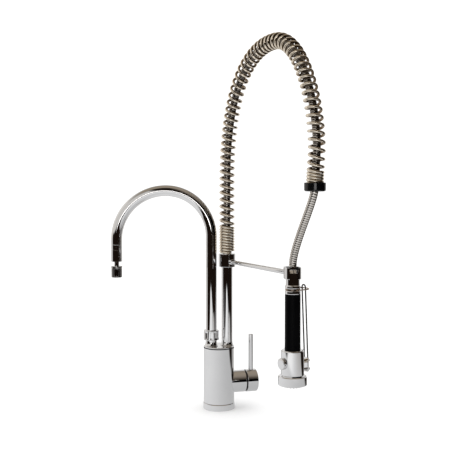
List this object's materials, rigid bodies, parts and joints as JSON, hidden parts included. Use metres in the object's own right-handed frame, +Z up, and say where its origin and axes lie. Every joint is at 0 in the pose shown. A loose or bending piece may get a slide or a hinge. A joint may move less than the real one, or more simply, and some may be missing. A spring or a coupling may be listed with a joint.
{
  "type": "pre rinse faucet",
  "caption": "Deck-mounted pre-rinse faucet with a mixer lever, a swivel spout, a sprung hose arch and a squeeze-handle spray held in a clip on a side arm.",
  "frame": {"origin": "centre of the upright body on the deck face", "axes": "+Z up, +X from the body towards the mixer handle, -Y towards the spray arm"},
  "size_m": [0.3103, 0.3877, 0.7249],
  "materials": {
    "chrome": "mirror-polished plate",
    "steel": "drawn wire, satin",
    "dark_chrome": "dark polished plate",
    "brass": "machined",
    "rubber": "matte black",
    "black_plastic": "gloss black",
    "grip": "fine matte black",
    "grey_plastic": "satin grey",
    "bearing_plastic": "natural bearing plastic"
  },
  "bodies": {
    "deck_body": {"base_ring": "chrome", "base_seal": "rubber", "body_shell": "chrome", "water_block": "brass", "cartridge_body": "bearing_plastic", "cartridge_nut": "brass", "gap_ring": "black_plastic", "spout_foot": "chrome", "spout_collar": "chrome", "spout_o_rings": "rubber", "riser_foot": "chrome", "riser_pipe": "chrome"},
    "spout": {"spout_tube": "chrome", "outlet_sleeve": "chrome"},
    "outlet_seat": {"ball_seat": "bearing_plastic"},
    "aerator": {"aerator_ball": "chrome", "aerator_head": "dark_chrome", "aerator_insert": "grey_plastic", "aerator_seal": "rubber"},
    "mixer": {"cartridge_rotor": "brass", "stem_pin": "steel"},
    "handle": {"cartridge_stem": "steel", "handle_cap": "chrome", "lever_pin": "chrome", "handle_grub_screw": "steel"},
    "arm": {"arm_bracket": "chrome", "bracket_bush": "bearing_plastic", "arm_set_screw": "steel", "arm_boss": "chrome", "arm_rod": "chrome", "holder_clip": "chrome", "holder_liner": "rubber", "coil_spring": "steel", "spring_end_cap": "black_plastic", "cap_grommet": "rubber", "spray_hose": "steel", "hose_ferrule": "chrome"},
    "spray": {"hose_nut": "chrome", "spray_collar": "chrome", "handle_core": "bearing_plastic", "grip_sleeve": "grip", "spray_head": "chrome", "valve_body": "brass", "bail_band": "brass", "face_ring": "chrome", "face_seal": "rubber", "spray_plate": "grey_plastic", "nozzle_tips": "rubber", "pivot_post": "chrome", "return_spring": "steel"},
    "bail": {"hold_down_bail": "steel"},
    "knob": {"spray_knob": "chrome", "knob_stem": "steel"},
    "trigger": {"trigger_wire": "steel", "trigger_yoke": "chrome"},
    "plunger": {"valve_plunger": "steel"}
  },
  "joints": [
    {"name": "spout_swivel", "type": "hinge", "parent": "deck_body", "child": "spout", "pos_m": [-0.016, 0, 0.141], "axis": [0, 0, 1], "range_deg": [-60, 40]},
    {"name": "outlet_turn", "type": "hinge", "parent": "spout", "child": "outlet_seat", "pos_m": [-0.19588, 0.055, 0.302], "axis": [0, 0, 1], "continuous": true},
    {"name": "outlet_tilt", "type": "hinge", "parent": "outlet_seat", "child": "aerator", "pos_m": [-0.19588, 0.055, 0.302], "axis": [-0.2924, -0.9563, 0], "range_deg": [-15, 15]},
    {"name": "mix_turn", "type": "hinge", "parent": "deck_body", "child": "mixer", "pos_m": [0.03, 0, 0.0515], "axis": [1, 0, 0], "range_deg": [-45, 45]},
    {"name": "flow_lift", "type": "hinge", "parent": "mixer", "child": "handle", "pos_m": [0.0442, 0, 0.0515], "axis": [0, 1, 0], "range_deg": [0, 20]},
    {"name": "arm_swivel", "type": "hinge", "parent": "deck_body", "child": "arm", "pos_m": [0.0168, 0, 0.2945], "axis": [0, 0, 1], "range_deg": [-35, 100]},
    {"name": "spray_twist", "type": "hinge", "parent": "arm", "child": "spray", "pos_m": [0.0667, -0.23475, 0.29], "axis": [0, 0, 1], "continuous": true},
    {"name": "bail_flip", "type": "hinge", "parent": "spray", "child": "bail", "pos_m": [0.0667, -0.23475, 0.2658], "axis": [-0.2756, 0.9613, 0], "range_deg": [-25, 25]},
    {"name": "knob_turn", "type": "hinge", "parent": "spray", "child": "knob", "pos_m": [0.04555, -0.24082, 0.1354], "axis": [-0.9613, -0.2756, 0], "range_deg": [0, 90]},
    {"name": "trigger_squeeze", "type": "hinge", "parent": "spray", "child": "trigger", "pos_m": [0.09582, -0.2264, 0.1202], "axis": [0.2756, -0.9613, 0], "range_deg": [0, 3.3], "stiffness_Nm_per_rad": 0.6, "springref_deg": -6.88},
    {"name": "plunger_slide", "type": "slide", "parent": "spray", "child": "plunger", "axis": [-0.9613, -0.2756, 0], "range_m": [0, 0.001], "deforming": ["return_spring"]}
  ],
  "couplings": [
    {"joint": "plunger_slide", "follows": "trigger_squeeze", "m_per_rad": 0.0152}
  ]
}
